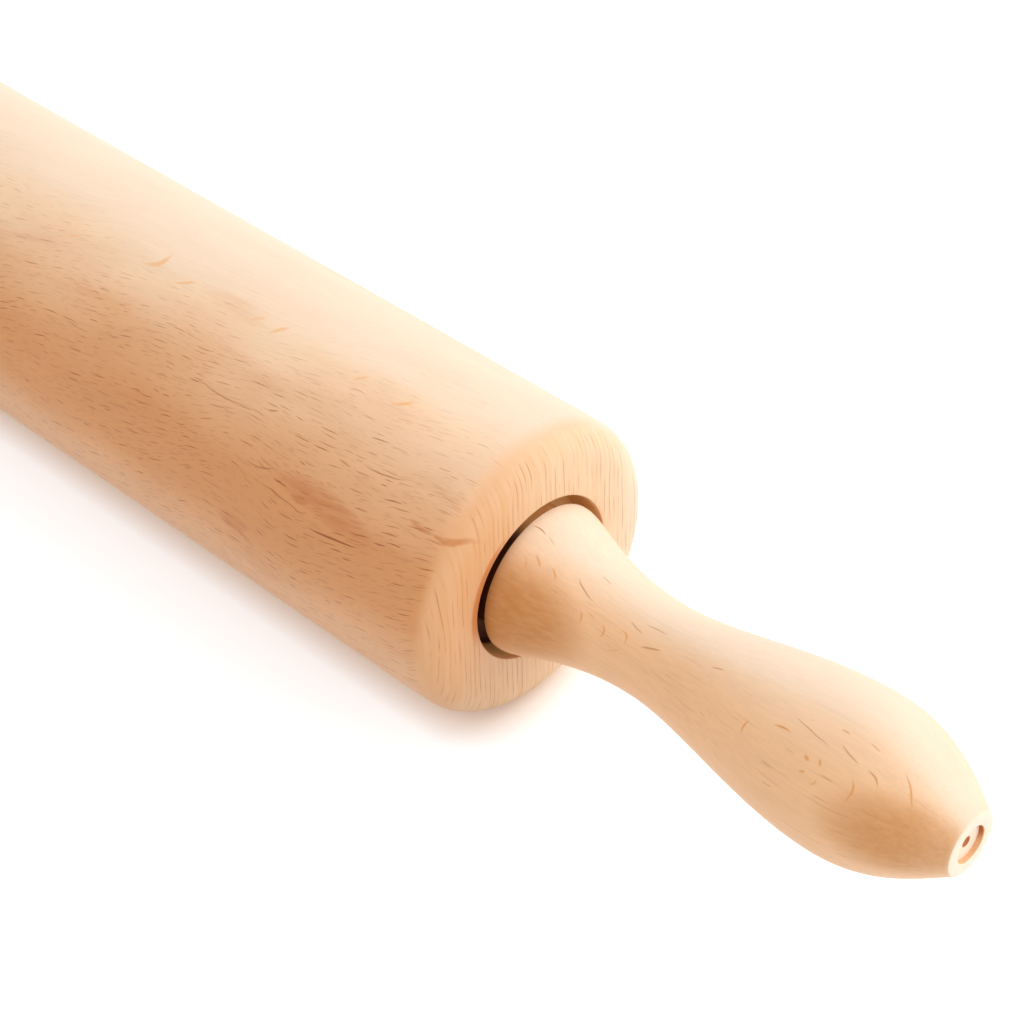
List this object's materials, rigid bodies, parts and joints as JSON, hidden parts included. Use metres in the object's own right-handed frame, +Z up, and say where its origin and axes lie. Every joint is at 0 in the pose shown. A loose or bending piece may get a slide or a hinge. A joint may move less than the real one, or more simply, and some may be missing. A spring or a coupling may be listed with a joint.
{
  "type": "rolling pin",
  "caption": "Rolling pin with a thick turned wooden roller that spins on ball bearings between two shaped wooden handles.",
  "frame": {"origin": "middle of the roller, on its spin axis", "axes": "+X along the pin towards the right handle, +Z up, away from the table that the roller lies on"},
  "size_m": [0.44, 0.06, 0.06],
  "materials": {
    "roller_beech": "sanded beech, unlacquered",
    "handle_beech": "sanded beech, unlacquered",
    "plug_wood": "sanded end grain",
    "axle_steel": "drawn bright steel",
    "bearing_steel": "ground bearing steel",
    "cage_brass": "pressed brass",
    "screw_steel": "zinc-plated steel",
    "clip_steel": "oiled spring steel",
    "spacer_nylon": "natural nylon"
  },
  "bodies": {
    "roller": {"roller": "roller_beech", "right_outer_race": "bearing_steel", "left_outer_race": "bearing_steel", "right_outer_shield": "bearing_steel", "left_outer_shield": "bearing_steel", "right_inner_shield": "bearing_steel", "left_inner_shield": "bearing_steel"},
    "spindle": {"axle": "axle_steel", "right_handle": "handle_beech", "left_handle": "handle_beech", "right_end_plug": "plug_wood", "left_end_plug": "plug_wood", "right_handle_screw": "screw_steel", "left_handle_screw": "screw_steel", "right_spacer": "spacer_nylon", "left_spacer": "spacer_nylon", "right_axle_clip": "clip_steel", "left_axle_clip": "clip_steel", "right_inner_race": "bearing_steel", "left_inner_race": "bearing_steel"},
    "right_ball_ring": {"right_balls": "bearing_steel", "right_ball_cage": "cage_brass"},
    "left_ball_ring": {"left_balls": "bearing_steel", "left_ball_cage": "cage_brass"}
  },
  "joints": [
    {"name": "handle_turn", "type": "hinge", "parent": "roller", "child": "spindle", "pos_m": [0, 0, 0], "axis": [1, 0, 0], "continuous": true},
    {"name": "right_ball_orbit", "type": "hinge", "parent": "roller", "child": "right_ball_ring", "pos_m": [0.1135, 0, 0], "axis": [1, 0, 0], "continuous": true},
    {"name": "left_ball_orbit", "type": "hinge", "parent": "roller", "child": "left_ball_ring", "pos_m": [-0.1135, 0, 0], "axis": [1, 0, 0], "continuous": true}
  ],
  "couplings": [
    {"joint": "right_ball_orbit", "follows": "handle_turn", "ratio": 0.3677},
    {"joint": "left_ball_orbit", "follows": "handle_turn", "ratio": 0.3677}
  ]
}
